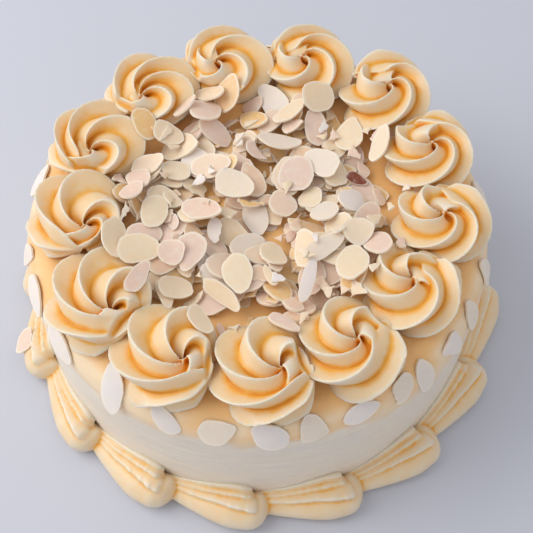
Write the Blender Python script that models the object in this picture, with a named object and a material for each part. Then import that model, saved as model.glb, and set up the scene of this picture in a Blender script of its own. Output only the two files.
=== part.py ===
"""Yema cake: a round frosted cake with a ring of piped rosettes, a shell border and sliced almonds.

Units: metres in the file, millimetres in the named sizes below. +Z is up and the origin is the
centre of the flat base, so the cake stands on z = 0. Angles are in degrees, counterclockwise
from +X seen from above.
"""
import math
import random

import bmesh
import bpy
import numpy as np
from mathutils import Matrix, Vector

for old in list(bpy.data.objects):
    bpy.data.objects.remove(old, do_unlink=True)

MM = 0.001
SEED = 1307
GAP = 0.3                     # clearance between touching nodes

# frosted cake: an 8 inch cake plus icing
CAKE_R = 107.5
CAKE_TOP = 82.5
RIM_ROUND = 14.0              # generously rounded top edge
RIM_STEPS = 4
CAKE_SIDES = 64

# ring of rosettes
ROSE_COUNT = 13
ROSE_RING = 81.5              # centres of the rosettes
ROSE_FIRST = 128.9            # angle of the first one
ROSE_DRIFT = 2.3              # uneven spacing of the ring, degrees
ROPE_R = 11.5                 # half width of the piped rope
ROPE_PATH = 11.8              # radius of its loop
ROPE_FLAT = 0.82              # height of the rope over its width
ROPE_MID = 8.3                # height of its middle above the cake
ROPE_TURN = 405.0             # degrees of travel from the centre to the tail
ROPE_TAIL = 97.0              # where the tail points, from the outward direction
TEETH = 6                     # points of the star nozzle
TOOTH_DEPTH = 0.40
TOOTH_BIAS = 0.62             # where the groove lies between two crests
ROSE_TRIANGLES = 400

# shell border round the base
SHELL_COUNT = 16
SHELL_FIRST = 5.0             # angle of the head of the first shell
SHELL_STEPS = (0.0, 0.18, 0.38, 0.58, 0.76, 0.90, 0.97)
SHELL_OUT = 18.0              # reach of the lobe beyond the side
SHELL_TAIL = 0.50             # reach and height of the tail, as a share of the lobe's
SHELL_TOP = 19.0

# almond flakes
FLAKE_THICK = 1.2
RIM_FLAKE_SLOPE = 56.0        # where they lie on the rounded edge, from level
TOP_FLAKES = 70
HEAP_R = 60.0
CORE_R = 50.0


def make_material(name, colour, roughness):
    material = bpy.data.materials.new(name)
    material.use_nodes = True
    shader = material.node_tree.nodes["Principled BSDF"]
    shader.inputs["Base Color"].default_value = (*colour, 1.0)
    shader.inputs["Roughness"].default_value = roughness
    return material


def add_object(name, verts, faces, material=None):
    mesh = bpy.data.meshes.new(name)
    mesh.from_pydata([tuple(v) for v in verts], [], faces)
    mesh.update()
    obj = bpy.data.objects.new(name, mesh)
    bpy.context.collection.objects.link(obj)
    if material:
        mesh.materials.append(material)
    return obj


def edit(obj, action):
    bm = bmesh.new()
    bm.from_mesh(obj.data)
    action(bm)
    bm.to_mesh(obj.data)
    bm.free()
    obj.data.update()


def make_active(obj):
    bpy.ops.object.select_all(action="DESELECT")
    obj.select_set(True)
    bpy.context.view_layer.objects.active = obj


def apply(obj, modifier):
    make_active(obj)
    bpy.ops.object.modifier_apply(modifier=modifier.name)


def outward_normals(bm):
    bmesh.ops.recalc_face_normals(bm, faces=bm.faces)


def keep_largest(bm):
    """Drop loose scraps and sealed hollows: only the biggest connected shell stays."""
    seen, shells = set(), []
    for start in bm.verts:
        if start in seen:
            continue
        stack, shell = [start], []
        seen.add(start)
        while stack:
            vert = stack.pop()
            shell.append(vert)
            for edge in vert.link_edges:
                other = edge.other_vert(vert)
                if other not in seen:
                    seen.add(other)
                    stack.append(other)
        shells.append(shell)
    shells.sort(key=len, reverse=True)
    for shell in shells[1:]:
        bmesh.ops.delete(bm, geom=shell, context="VERTS")


def fuse(base, pieces, solver="EXACT"):
    """Join the pieces into the base with one union."""
    group = bpy.data.collections.new(base.name + "_pieces")
    bpy.context.scene.collection.children.link(group)
    for piece in pieces:
        for home in list(piece.users_collection):
            home.objects.unlink(piece)
        group.objects.link(piece)
    union = base.modifiers.new("union", "BOOLEAN")
    union.operation = "UNION"
    union.operand_type = "COLLECTION"
    union.collection = group
    union.solver = solver
    apply(base, union)
    for piece in pieces:
        bpy.data.objects.remove(piece, do_unlink=True)
    bpy.data.collections.remove(group)


def tidy(obj, merge=0.02):
    def action(bm):
        bmesh.ops.remove_doubles(bm, verts=bm.verts, dist=merge * MM)
        bmesh.ops.dissolve_degenerate(bm, edges=bm.edges, dist=0.01 * MM)
        keep_largest(bm)
        outward_normals(bm)
    edit(obj, action)


# frosted cake

def lathe(name, profile, sides, material):
    """Turn (radius, height) pairs about Z; both ends are closed with flat faces."""
    verts, faces = [], []
    for radius, height in profile:
        for k in range(sides):
            angle = 2 * math.pi * k / sides
            verts.append((radius * math.cos(angle) * MM, radius * math.sin(angle) * MM, height * MM))
    for row in range(len(profile) - 1):
        for k in range(sides):
            n = (k + 1) % sides
            faces.append((row * sides + k, row * sides + n, (row + 1) * sides + n, (row + 1) * sides + k))
    faces.append(tuple(reversed(range(sides))))
    last = (len(profile) - 1) * sides
    faces.append(tuple(last + k for k in range(sides)))
    return add_object(name, verts, faces, material)


def flake_outline(length, width, sides, point):
    """Almond slice outline: an oval drawn to a blunt point at one end."""
    outline = []
    for k in range(sides):
        angle = 2 * math.pi * (k + 0.5) / sides
        x, y = math.cos(angle), math.sin(angle)
        outline.append((0.5 * length * x, 0.5 * width * y * (1 - point * x)))
    return outline


def flake(name, outline, thick, matrix, material=None):
    verts = [matrix @ Vector((x * MM, y * MM, z * MM)) for z in (0.0, thick) for x, y in outline]
    n = len(outline)
    faces = [tuple(reversed(range(n))), tuple(range(n, 2 * n))]
    faces += [(k, (k + 1) % n, n + (k + 1) % n, n + k) for k in range(n)]
    return add_object(name, verts, faces, material)


def cake_profile(offset=0.0):
    """(radius, height) up the side and over the rounded edge, moved outward by an offset."""
    profile = [(CAKE_R + offset, 0.0)]
    for k in range(RIM_STEPS + 1):
        angle = math.radians(90.0 * k / RIM_STEPS)
        reach = RIM_ROUND + offset
        profile.append((CAKE_R - RIM_ROUND + reach * math.cos(angle),
                        CAKE_TOP - RIM_ROUND + reach * math.sin(angle)))
    return profile


def rim_drop(radius):
    """How far the rounded edge lies below the top at a radius."""
    share = np.clip((radius - CAKE_R + RIM_ROUND) / RIM_ROUND, 0, 1)
    return RIM_ROUND * (1 - np.sqrt(1 - share ** 2))


def rim_flakes(rng):
    """Flakes pressed on the rounded edge, by turns in front of a rosette and between two."""
    pieces = []
    for k in range(ROSE_COUNT):
        gap = (rose_angle((k + 1) % ROSE_COUNT) - rose_angle(k)) % 360.0
        for between in (False, True):
            place = rose_angle(k) + (0.5 * gap if between else 0.0) + rng.uniform(-2.0, 2.0)
            angle = math.radians(place)
            slope = math.radians(RIM_FLAKE_SLOPE + (0.0 if between else 12.0) + rng.uniform(-4, 4))
            lean = math.radians(rng.uniform(30, 150) if between else rng.uniform(-12, 12))
            outline = flake_outline(rng.uniform(13.5, 16.5), rng.uniform(9.0, 11.0), 6, rng.uniform(0.1, 0.3))
            level = Vector((math.cos(angle), math.sin(angle), 0.0))
            across = Vector((-math.sin(angle), math.cos(angle), 0.0))
            upward = Vector((0, 0, 1))
            outward = level * math.sin(slope) + upward * math.cos(slope)
            uphill = upward * math.sin(slope) - level * math.cos(slope)
            along = across * math.cos(lean) + uphill * math.sin(lean)
            frame = Matrix((along, outward.cross(along), outward)).transposed().to_4x4()
            centre = (level * (CAKE_R - RIM_ROUND) + upward * (CAKE_TOP - RIM_ROUND)
                      + outward * (RIM_ROUND - 0.9)) * MM
            pieces.append(flake("rim_flake", outline, FLAKE_THICK + 0.4, Matrix.Translation(centre) @ frame))
    return pieces


def build_cake(material, rng):
    cake = lathe("cake_body", cake_profile(), CAKE_SIDES, material)
    fuse(cake, rim_flakes(rng))
    tidy(cake)
    return cake


# rosettes

def rose_angle(k):
    """Angle of rosette k; the ring is a little uneven, as piped by hand."""
    return ROSE_FIRST + 360.0 * k / ROSE_COUNT + ROSE_DRIFT * (1 - math.cos(2 * math.pi * k / ROSE_COUNT))


def rose_settings(k):
    """Small differences between the rosettes, from smooth waves so that they stay repeatable."""
    return {
        "scale": 1.0 + 0.025 * math.sin(2.3 * k + 0.7),
        "tail": ROPE_TAIL + 12.0 * math.sin(1.9 * k + 1.0),
        "phase": 0.9 * k + 0.4,
        "lift": 0.5 * math.sin(3.1 * k),
    }


def star(angle, phase):
    """Radius of the star nozzle: sharp crests, each followed by a slope into a narrow groove."""
    place = ((angle - phase) * TEETH / (2 * math.pi)) % 1.0
    down = np.clip(place / TOOTH_BIAS, 0, 1) ** 1.15
    up = np.clip((place - TOOTH_BIAS) / (1 - TOOTH_BIAS), 0, 1) ** 0.9
    return 1.0 - TOOTH_DEPTH * (down - up)


def rose_rope(settings, rows, around):
    """Star rope piped counterclockwise from the centre, in a frame with x outward."""
    t = np.linspace(0.0, 1.0, rows)
    heading = np.radians(settings["tail"] - ROPE_TURN * (1 - t))
    path = ROPE_PATH * settings["scale"] * np.sin(np.clip(t * ROPE_TURN / 140.0, 0, 1) * math.pi / 2)
    width = ROPE_R * settings["scale"] * (0.78 + 0.22 * np.clip(t / 0.12, 0, 1))
    width = width * (0.08 + 0.92 * np.sin(np.clip((1 - t) / 0.17, 0, 1) * math.pi / 2) ** 0.8)
    tilt = np.clip(t / 0.17, 0, 1) * math.pi / 2
    middle = (ROPE_MID + settings["lift"]) * (width / (ROPE_R * settings["scale"])) ** 0.7
    psi = np.linspace(0, 2 * math.pi, around, endpoint=False)
    points = np.zeros((rows, around, 3))
    for i in range(rows):
        out = np.array((math.cos(heading[i]), math.sin(heading[i])))
        ahead = np.array((-out[1], out[0]))
        radius = width[i] * star(psi + heading[i], settings["phase"])
        over, beside = radius * np.sin(psi), radius * np.cos(psi)
        points[i, :, :2] = path[i] * out + np.outer(beside, out) + np.outer(over * math.cos(tilt[i]), ahead)
        points[i, :, 2] = middle[i] - over * math.sin(tilt[i]) * ROPE_FLAT
    return points


def rose_reach(settings, height, margin):
    """Radius of the round body of a rosette at a height above the cake."""
    scale = settings["scale"]
    rise = np.clip((height - ROPE_MID - settings["lift"]) / (ROPE_R * scale * ROPE_FLAT), 0, 0.98)
    return ROPE_PATH * scale + ROPE_R * scale * np.sqrt(1 - rise ** 2) + margin


def yield_to_next(points, spacing, settings, margin):
    """Press the leading side of a rosette against the next one, which lies over its tail."""
    x, y, z = points[..., 0] + ROSE_RING, points[..., 1], points[..., 2]
    radius = np.hypot(x, y)
    angle = np.degrees(np.arctan2(y, x))
    reach = rose_reach(settings, z, margin)
    cosine = (radius ** 2 + ROSE_RING ** 2 - reach ** 2) / (2 * radius * ROSE_RING)
    limit = spacing - np.degrees(np.arccos(np.clip(cosine, -1, 1)))
    share = np.clip(angle / limit, 0, None)
    pressed = limit * share / (1 + share ** 8) ** 0.125
    angle = np.radians(np.where(angle > 0, pressed, angle))
    result = points.copy()
    result[..., 0] = radius * np.cos(angle) - ROSE_RING
    result[..., 1] = radius * np.sin(angle)
    return result


def settle(points, sunk=1.2):
    """Heights above the cake's top once the rope has sagged on to it and over its rounded edge."""
    z = points[..., 2]
    drop = rim_drop(np.hypot(points[..., 0] + ROSE_RING, points[..., 1]))
    sagged = z - (drop + 0.5) * np.clip(1 - z / ROPE_MID, 0, 1)
    return np.maximum(sagged, -drop - sunk)


def rope_mesh(name, points):
    rows, around, _ = points.shape
    verts = list(points.reshape(-1, 3) * MM)
    faces = [(i * around + j, i * around + (j + 1) % around,
              (i + 1) * around + (j + 1) % around, (i + 1) * around + j)
             for i in range(rows - 1) for j in range(around)]
    for row, flip in ((0, True), (rows - 1, False)):
        centre = len(verts)
        verts.append(points[row].mean(0) * MM)
        for j in range(around):
            a, b = row * around + j, row * around + (j + 1) % around
            faces.append((centre, b, a) if flip else (centre, a, b))
    return add_object(name, verts, faces)


def build_rosette(k, material):
    settings = rose_settings(k)
    after = rose_settings((k + 1) % ROSE_COUNT)
    spacing = (rose_angle((k + 1) % ROSE_COUNT) - rose_angle(k)) % 360.0
    points = rose_rope(settings, 90, 60)
    points = yield_to_next(points, spacing, after, 0.7)
    points[..., 2] = settle(points)
    rose = rope_mesh("rosette_%02d" % (k + 1), points)
    rose.data.materials.append(material)
    remesh = rose.modifiers.new("remesh", "REMESH")
    remesh.mode = "VOXEL"
    remesh.voxel_size = 0.85 * MM
    apply(rose, remesh)
    edit(rose, keep_largest)
    shrink = rose.modifiers.new("decimate", "DECIMATE")
    shrink.ratio = ROSE_TRIANGLES / (2.0 * len(rose.data.polygons))
    apply(rose, shrink)

    def finish(bm):
        # keep the coarse skin clear of the next rosette, then cut the base flat
        coarse = np.array([v.co for v in bm.verts]) / MM
        x, y = coarse[:, 0] + ROSE_RING, coarse[:, 1]
        radius, angle = np.hypot(x, y), np.degrees(np.arctan2(y, x))
        reach = rose_reach(after, coarse[:, 2], 0.7)
        cosine = (radius ** 2 + ROSE_RING ** 2 - reach ** 2) / (2 * radius * ROSE_RING)
        limit = spacing - np.degrees(np.arccos(np.clip(cosine, -1, 1)))
        angle = np.radians(np.minimum(angle, limit))
        for vert, r, a in zip(bm.verts, radius, angle):
            vert.co.x, vert.co.y = (r * math.cos(a) - ROSE_RING) * MM, r * math.sin(a) * MM
    edit(rose, finish)
    turn = Matrix.Rotation(math.radians(rose_angle(k)), 4, "Z")
    rose.data.transform(turn @ Matrix.Translation((ROSE_RING * MM, 0, (CAKE_TOP + GAP) * MM)))
    # the underside follows the cake
    cutter = lathe("cutter", cake_profile(GAP), CAKE_SIDES, None)
    cut = rose.modifiers.new("cut", "BOOLEAN")
    cut.operation = "DIFFERENCE"
    cut.object = cutter
    cut.solver = "EXACT"
    apply(rose, cut)
    bpy.data.objects.remove(cutter, do_unlink=True)
    tidy(rose, 0.05)
    return rose


# shell border

def shell_section(s):
    """Section of the border at a place along one shell: s = 0 is the thin tail, 1 the round head.

    Returns (reach from the side, height) from the inner foot over two ridges and the outer lobe
    to the outer foot."""
    swell = SHELL_TAIL + (1 - SHELL_TAIL) * math.sin(min(s / 0.74, 1.0) * math.pi / 2) ** 1.1
    head = math.sqrt(max(0.0, 1 - max(0.0, (s - 0.74) / 0.26) ** 2.2))
    size = swell * (0.42 + 0.58 * head)
    out, top = SHELL_OUT * size, SHELL_TOP * size
    return [
        (0.0, 0.0),
        (0.0, 0.86 * top),
        (0.10 * out, 1.00 * top),     # thin inner ridge against the side
        (0.24 * out, 0.72 * top),
        (0.38 * out, 0.96 * top),     # middle ridge
        (0.50 * out, 0.66 * top),
        (0.70 * out, 0.68 * top),     # smooth outer lobe
        (0.93 * out, 0.50 * top),
        (1.00 * out, 0.27 * top),
        (0.90 * out, 0.0),
    ]


def build_border(material):
    inner = CAKE_R + GAP
    sections = []
    for k in range(SHELL_COUNT):
        start = SHELL_FIRST + 360.0 * (k - 1) / SHELL_COUNT
        wave = 1.0 + 0.05 * math.sin(2.7 * k + 0.4)
        for s in SHELL_STEPS:
            angle = math.radians(start + 360.0 / SHELL_COUNT * s)
            sections.append((angle, [(reach * wave, height * wave) for reach, height in shell_section(s)]))
    n = len(sections[0][1])
    verts, faces = [], []
    for angle, section in sections:
        for reach, height in section:
            radius = inner + reach
            verts.append((radius * math.cos(angle) * MM, radius * math.sin(angle) * MM, height * MM))
    rows = len(sections)
    for i in range(rows):
        j = (i + 1) % rows
        for k in range(n):
            m = (k + 1) % n
            faces.append((i * n + k, i * n + m, j * n + m, j * n + k))
    border = add_object("shell_border", verts, faces, material)
    edit(border, outward_normals)
    return border


# almonds on top

def room_left(x, y, roses):
    """Distance from a point to the nearest rosette, in mm."""
    return min(math.hypot(x - cx, y - cy) - reach for cx, cy, reach in roses)


def build_almonds(material, rng):
    roses = []
    for k in range(ROSE_COUNT):
        angle, scale = math.radians(rose_angle(k)), rose_settings(k)["scale"]
        roses.append((ROSE_RING * math.cos(angle), ROSE_RING * math.sin(angle), (ROPE_PATH + ROPE_R) * scale))
    floor = CAKE_TOP + GAP
    sides = 26
    verts = []
    for share, height in ((1.0, 0.0), (1.0, 0.9), (0.62, 1.9)):
        for k in range(sides):
            angle = 2 * math.pi * k / sides
            radius = share * (CORE_R + 3.0 * math.sin(3 * angle + 1.0) + 2.0 * math.sin(5 * angle))
            x, y = radius * math.cos(angle), radius * math.sin(angle)
            verts.append((x * MM, y * MM, (floor + height) * MM))
    faces = [(r * sides + k, r * sides + (k + 1) % sides,
              (r + 1) * sides + (k + 1) % sides, (r + 1) * sides + k)
             for r in range(2) for k in range(sides)]
    faces += [tuple(reversed(range(sides))), tuple(2 * sides + k for k in range(sides))]
    core = add_object("almond_flakes", verts, faces, material)

    cell = 2.5
    width = int(2 * 75 / cell)
    ground = np.full((width, width), floor)
    grid = (np.arange(width) + 0.5) * cell - 75
    gx, gy = np.meshgrid(grid, grid, indexing="ij")
    radius = np.hypot(gx, gy)
    ground[radius < CORE_R - 4] = floor + 0.9
    ground[radius < CORE_R * 0.62] = floor + 1.9
    pieces = []
    tries = 0
    while len(pieces) < TOP_FLAKES and tries < 4000:
        tries += 1
        place = HEAP_R * math.sqrt((len(pieces) + rng.random()) / TOP_FLAKES)
        angle = len(pieces) * 2.39996 + rng.uniform(-0.3, 0.3)
        x, y = place * math.cos(angle), place * math.sin(angle)
        length, breadth = rng.uniform(13.5, 18.5), rng.uniform(9.5, 12.5)
        turn = rng.uniform(0, 2 * math.pi)
        half_x, half_y = 0.5 * length * math.cos(turn), 0.5 * length * math.sin(turn)
        ends = [(x + s * half_x, y + s * half_y) for s in (-1, 1)]
        if min(room_left(ex, ey, roses) for ex, ey in ends) < 0.8 or room_left(x, y, roses) < 5.2:
            continue
        dx, dy = gx - x, gy - y
        along = (dx * math.cos(turn) + dy * math.sin(turn)) / (0.5 * length)
        beside = (-dx * math.sin(turn) + dy * math.cos(turn)) / (0.5 * breadth)
        under = along ** 2 + beside ** 2 < 1
        if not under.any():
            continue
        # lean along the heights beneath, and sink slightly into them
        heights = ground[under]
        slope, *_ = np.linalg.lstsq(np.c_[dx[under], dy[under], np.ones(len(heights))], heights, rcond=None)
        slope[:2] = np.clip(slope[:2], -0.22, 0.22) + rng.uniform(-0.05, 0.05)
        base = max(np.quantile(heights, 0.7), floor + 0.2) - 0.35
        normal = Vector((-slope[0], -slope[1], 1.0)).normalized()
        forward = Vector((math.cos(turn), math.sin(turn), 0.0))
        forward = (forward - normal * forward.dot(normal)).normalized()
        lowest = min(base + slope[0] * s * half_x + slope[1] * s * half_y for s in (-1, 1))
        base += max(0.0, floor + 0.15 - lowest)
        frame = Matrix((forward, normal.cross(forward), normal)).transposed().to_4x4()
        outline = flake_outline(length, breadth, 7, rng.uniform(0.05, 0.3))
        centre = Vector((x, y, base)) * MM
        pieces.append(flake("top_flake", outline, FLAKE_THICK, Matrix.Translation(centre) @ frame))
        plane = base + slope[0] * dx + slope[1] * dy + FLAKE_THICK
        ground[under] = np.maximum(ground[under], plane[under])
    fuse(core, pieces)
    tidy(core)

    def clear_of_cake(bm):
        for vert in bm.verts:
            vert.co.z = max(vert.co.z, floor * MM)
    edit(core, clear_of_cake)
    return core


cream = make_material("buttercream", (0.86, 0.64, 0.37), 0.5)
icing = make_material("icing", (0.78, 0.62, 0.45), 0.5)
almond = make_material("almond", (0.84, 0.76, 0.64), 0.6)

build_cake(icing, random.Random(SEED))
for number in range(ROSE_COUNT):
    build_rosette(number, cream.copy())
build_border(cream)
build_almonds(almond, random.Random(SEED + 5))

for obj in bpy.data.objects:
    triangles = sum(len(p.vertices) - 2 for p in obj.data.polygons)
    print(obj.name, triangles)
print("all", sum(sum(len(p.vertices) - 2 for p in o.data.polygons) for o in bpy.data.objects))
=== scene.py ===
import math
import random

import bmesh
import bpy
import numpy as np
from mathutils import Matrix, Vector, noise
from mathutils.bvhtree import BVHTree


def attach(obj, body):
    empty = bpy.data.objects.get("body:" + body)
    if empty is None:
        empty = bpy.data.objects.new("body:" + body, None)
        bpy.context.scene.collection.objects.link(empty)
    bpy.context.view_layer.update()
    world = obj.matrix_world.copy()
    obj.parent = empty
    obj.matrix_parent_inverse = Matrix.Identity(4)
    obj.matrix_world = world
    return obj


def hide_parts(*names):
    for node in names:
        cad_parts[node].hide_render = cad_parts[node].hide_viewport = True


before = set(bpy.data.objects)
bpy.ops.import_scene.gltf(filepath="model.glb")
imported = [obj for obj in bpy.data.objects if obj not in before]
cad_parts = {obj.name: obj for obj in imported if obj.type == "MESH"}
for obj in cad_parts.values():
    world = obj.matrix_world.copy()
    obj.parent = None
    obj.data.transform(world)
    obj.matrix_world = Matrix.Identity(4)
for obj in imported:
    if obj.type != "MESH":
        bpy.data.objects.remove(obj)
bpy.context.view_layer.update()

# a frosted yema cake: sizes in mm in the dictionaries, metres in Blender

mm = 0.001


# small helpers

def deselectAll():
    if bpy.context.object and bpy.context.object.mode != "OBJECT":
        bpy.ops.object.mode_set(mode="OBJECT")
    bpy.ops.object.select_all(action="DESELECT")


def pickOnly(obj):
    deselectAll()
    obj.select_set(True)
    bpy.context.view_layer.objects.active = obj


def applyModifier(obj, kind, **settings):
    pickOnly(obj)
    modifier = obj.modifiers.new(kind.lower(), kind)
    for name, value in settings.items():
        setattr(modifier, name, value)
    bpy.ops.object.modifier_apply(modifier=modifier.name)


def meshObject(name, verts, faces):
    mesh = bpy.data.meshes.new(name)
    mesh.from_pydata([tuple(v) for v in verts], [], [tuple(f) for f in faces])
    mesh.update()
    obj = bpy.data.objects.new(name, mesh)
    bpy.context.collection.objects.link(obj)
    return obj


def pointsOf(mesh, kind="co"):
    values = np.empty(len(mesh.vertices) * 3)
    mesh.vertices.foreach_get(kind, values)
    return values.reshape(-1, 3)


def setPoints(mesh, points):
    mesh.vertices.foreach_set("co", points.ravel())
    mesh.update()


def storeFloats(mesh, name, values):
    layer = mesh.attributes.new(name, "FLOAT", "POINT")
    layer.data.foreach_set("value", np.asarray(values, dtype=np.float32))


def smoothAll(obj):
    obj.data.polygons.foreach_set("use_smooth", [True] * len(obj.data.polygons))
    obj.data.update()


def settle(obj, nodes, material):
    obj.data.materials.clear()
    obj.data.materials.append(material)
    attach(obj, "root")
    if nodes:
        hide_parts(*nodes)
    return obj


def storeRelief(obj, fineSteps, broadSteps, shift=0.0):
    # groove: depth below the broadly smoothed surface, crest: height over the finely smoothed one; the
    # buttercream paints its shade and bounced orange light by these depths
    mesh = obj.data
    points = pointsOf(mesh)
    normals = pointsOf(mesh, "normal")
    edges = np.empty(len(mesh.edges) * 2, dtype=np.int64)
    mesh.edges.foreach_get("vertices", edges)
    edges = edges.reshape(-1, 2)
    here = np.concatenate([edges[:, 0], edges[:, 1]])
    there = np.concatenate([edges[:, 1], edges[:, 0]])
    count = len(points)
    degree = np.maximum(np.bincount(here, minlength=count), 1)
    smooth = points.copy()
    fine = smooth
    for step in range(broadSteps):
        mean = np.stack([np.bincount(here, weights=smooth[there, axis], minlength=count) / degree
                         for axis in range(3)], axis=1)
        smooth = smooth + 0.6 * (mean - smooth)
        if step == fineSteps - 1:
            fine = smooth.copy()
    groove = ((smooth - points) * normals).sum(1) / mm + shift
    crest = ((points - fine) * normals).sum(1) / mm
    storeFloats(mesh, "groove", groove)
    storeFloats(mesh, "crest", crest)
    print("relief", obj.name, "groove", np.round(np.percentile(groove, [5, 50, 90, 98]), 3),
          "crest", np.round(np.percentile(crest, [5, 50, 90, 98]), 3))


# materials

def newMaterial(name):
    material = bpy.data.materials.new(name)
    material.use_nodes = True
    nodes = material.node_tree.nodes
    return material, nodes, material.node_tree.links, nodes["Principled BSDF"]


def attributeNode(nodes, name):
    node = nodes.new("ShaderNodeAttribute")
    node.attribute_name = name
    return node.outputs["Fac"]


def mixColour(nodes, links, factor, first, second):
    mix = nodes.new("ShaderNodeMix")
    mix.data_type = "RGBA"
    for socket, value in ((mix.inputs[0], factor), (mix.inputs[6], first), (mix.inputs[7], second)):
        if isinstance(value, bpy.types.NodeSocket):
            links.new(value, socket)
        elif isinstance(value, float):
            socket.default_value = value
        else:
            socket.default_value = (*value, 1.0)
    return mix.outputs[2]


def mapRange(nodes, links, value, low, high, toLow=0.0, toHigh=1.0, smooth=True):
    node = nodes.new("ShaderNodeMapRange")
    node.interpolation_type = "SMOOTHSTEP" if smooth else "LINEAR"
    links.new(value, node.inputs[0])
    for index, number in ((1, low), (2, high), (3, toLow), (4, toHigh)):
        node.inputs[index].default_value = number
    return node.outputs[0]


def noiseTexture(nodes, links, scale, detail=3.0, stretch=(1.0, 1.0, 1.0), rough=0.5):
    coords = nodes.new("ShaderNodeTexCoord")
    mapping = nodes.new("ShaderNodeMapping")
    mapping.inputs["Scale"].default_value = stretch
    links.new(coords.outputs["Object"], mapping.inputs[0])
    texture = nodes.new("ShaderNodeTexNoise")
    texture.inputs["Scale"].default_value = scale
    texture.inputs["Detail"].default_value = detail
    texture.inputs["Roughness"].default_value = rough
    links.new(mapping.outputs[0], texture.inputs["Vector"])
    return texture.outputs[0]


def mathNode(nodes, links, operation, first, second):
    node = nodes.new("ShaderNodeMath")
    node.operation = operation
    for socket, value in ((node.inputs[0], first), (node.inputs[1], second)):
        if isinstance(value, bpy.types.NodeSocket):
            links.new(value, socket)
        else:
            socket.default_value = value
    return node.outputs[0]


def addBump(nodes, links, shader, height, strength, distance):
    bump = nodes.new("ShaderNodeBump")
    bump.inputs["Strength"].default_value = strength
    bump.inputs["Distance"].default_value = distance
    links.new(height, bump.inputs["Height"])
    links.new(bump.outputs[0], shader.inputs["Normal"])


# buttercream colours: crest is the cream's own pale colour; face is its own colour with some painted warm
# bounce light; the orange toward the hollows and grooves is painted shade and bounced light
creamLook = {
    "face": (0.82, 0.61, 0.36),
    "crest": (0.79, 0.705, 0.565),
    "hollowShade": (0.83, 0.42, 0.06),
    "groove": (0.72, 0.26, 0.006),
    "roughness": 0.42,
    "softness": 0.25,      # share of light that goes under the surface
}


def makeButtercream(name, look):
    material, nodes, links, shader = newMaterial(name)
    mottle = noiseTexture(nodes, links, 180.0, 3.0)
    wobble = mapRange(nodes, links, mottle, 0.3, 0.7, -0.12, 0.12, smooth=False)
    depth = mathNode(nodes, links, "ADD", attributeNode(nodes, "groove"), wobble)
    # the depth in the relief paints shade: paler toward the crests, orange painted shade in the hollows and
    # the deepest painted shade in the grooves
    high = mapRange(nodes, links, depth, -0.15, -0.8)
    face = mixColour(nodes, links, high, look["face"], look["crest"])
    hollowShade = mixColour(nodes, links, mapRange(nodes, links, depth, -0.15, 0.48), face, look["hollowShade"])
    warm = mixColour(nodes, links, mapRange(nodes, links, depth, 0.42, 0.85), hollowShade, look["groove"])
    onCrest = mapRange(nodes, links, attributeNode(nodes, "crest"), 0.06, 0.22, 0.0, 0.85)
    colour = mixColour(nodes, links, onCrest, warm, look["crest"])
    links.new(colour, shader.inputs["Base Color"])
    shader.inputs["Roughness"].default_value = look["roughness"]
    shader.inputs["Subsurface Weight"].default_value = look["softness"]
    shader.inputs["Subsurface Radius"].default_value = (1.0, 0.5, 0.2)
    shader.inputs["Subsurface Scale"].default_value = 0.004
    grain = noiseTexture(nodes, links, 1400.0, 4.0)
    addBump(nodes, links, shader, grain, 0.12, 0.0003)
    return material


icingLook = {
    "side": (0.83, 0.745, 0.64),
    "sideWarm": (0.87, 0.77, 0.63),
    "yema": (0.88, 0.53, 0.22),
    "yemaPale": (0.90, 0.71, 0.48),
    "yemaTop": (0.89, 0.53, 0.21),
    "smear": (0.88, 0.80, 0.66),
    "yemaEnd": 64.0,       # height where the yema layer thins out
    "roughness": 0.48,
}


def makeIcing(name, look):
    material, nodes, links, shader = newMaterial(name)
    coords = nodes.new("ShaderNodeTexCoord")
    split = nodes.new("ShaderNodeSeparateXYZ")
    links.new(coords.outputs["Object"], split.inputs[0])
    patch = noiseTexture(nodes, links, 38.0, 4.0)
    streak = noiseTexture(nodes, links, 26.0, 5.0, (1.0, 1.0, 26.0), 0.6)
    edge = mathNode(nodes, links, "ADD", split.outputs[2],
                    mapRange(nodes, links, patch, 0.3, 0.7, -0.009, 0.009, smooth=False))
    edge = mathNode(nodes, links, "ADD", edge,
                    mapRange(nodes, links, streak, 0.3, 0.7, -0.0015, 0.0015, smooth=False))
    onTop = mapRange(nodes, links, edge, (look["yemaEnd"] - 3) * mm, (look["yemaEnd"] + 9) * mm)
    side = mixColour(nodes, links, mapRange(nodes, links, streak, 0.35, 0.7), look["side"], look["sideWarm"])
    yema = mixColour(nodes, links, mapRange(nodes, links, patch, 0.3, 0.6), look["yema"], look["yemaPale"])
    flatTop = mapRange(nodes, links, split.outputs[2], 78 * mm, 82 * mm)
    yema = mixColour(nodes, links, flatTop, yema, look["yemaTop"])
    both = mixColour(nodes, links, onTop, side, yema)
    # whitish smears where the yema layer ends
    below = mapRange(nodes, links, edge, (look["yemaEnd"] - 4) * mm, (look["yemaEnd"] + 1) * mm)
    above = mapRange(nodes, links, edge, (look["yemaEnd"] + 9) * mm, (look["yemaEnd"] + 2) * mm)
    blot = mapRange(nodes, links, noiseTexture(nodes, links, 85.0, 2.0), 0.48, 0.62, 0.0, 0.8)
    smear = mathNode(nodes, links, "MULTIPLY", mathNode(nodes, links, "MULTIPLY", below, above), blot)
    links.new(mixColour(nodes, links, smear, both, look["smear"]), shader.inputs["Base Color"])
    shader.inputs["Roughness"].default_value = look["roughness"]
    shader.inputs["Subsurface Weight"].default_value = 0.15
    shader.inputs["Subsurface Radius"].default_value = (1.0, 0.6, 0.3)
    shader.inputs["Subsurface Scale"].default_value = 0.004
    grain = mathNode(nodes, links, "ADD", streak, noiseTexture(nodes, links, 700.0, 3.0))
    addBump(nodes, links, shader, grain, 0.25, 0.0004)
    return material


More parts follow.
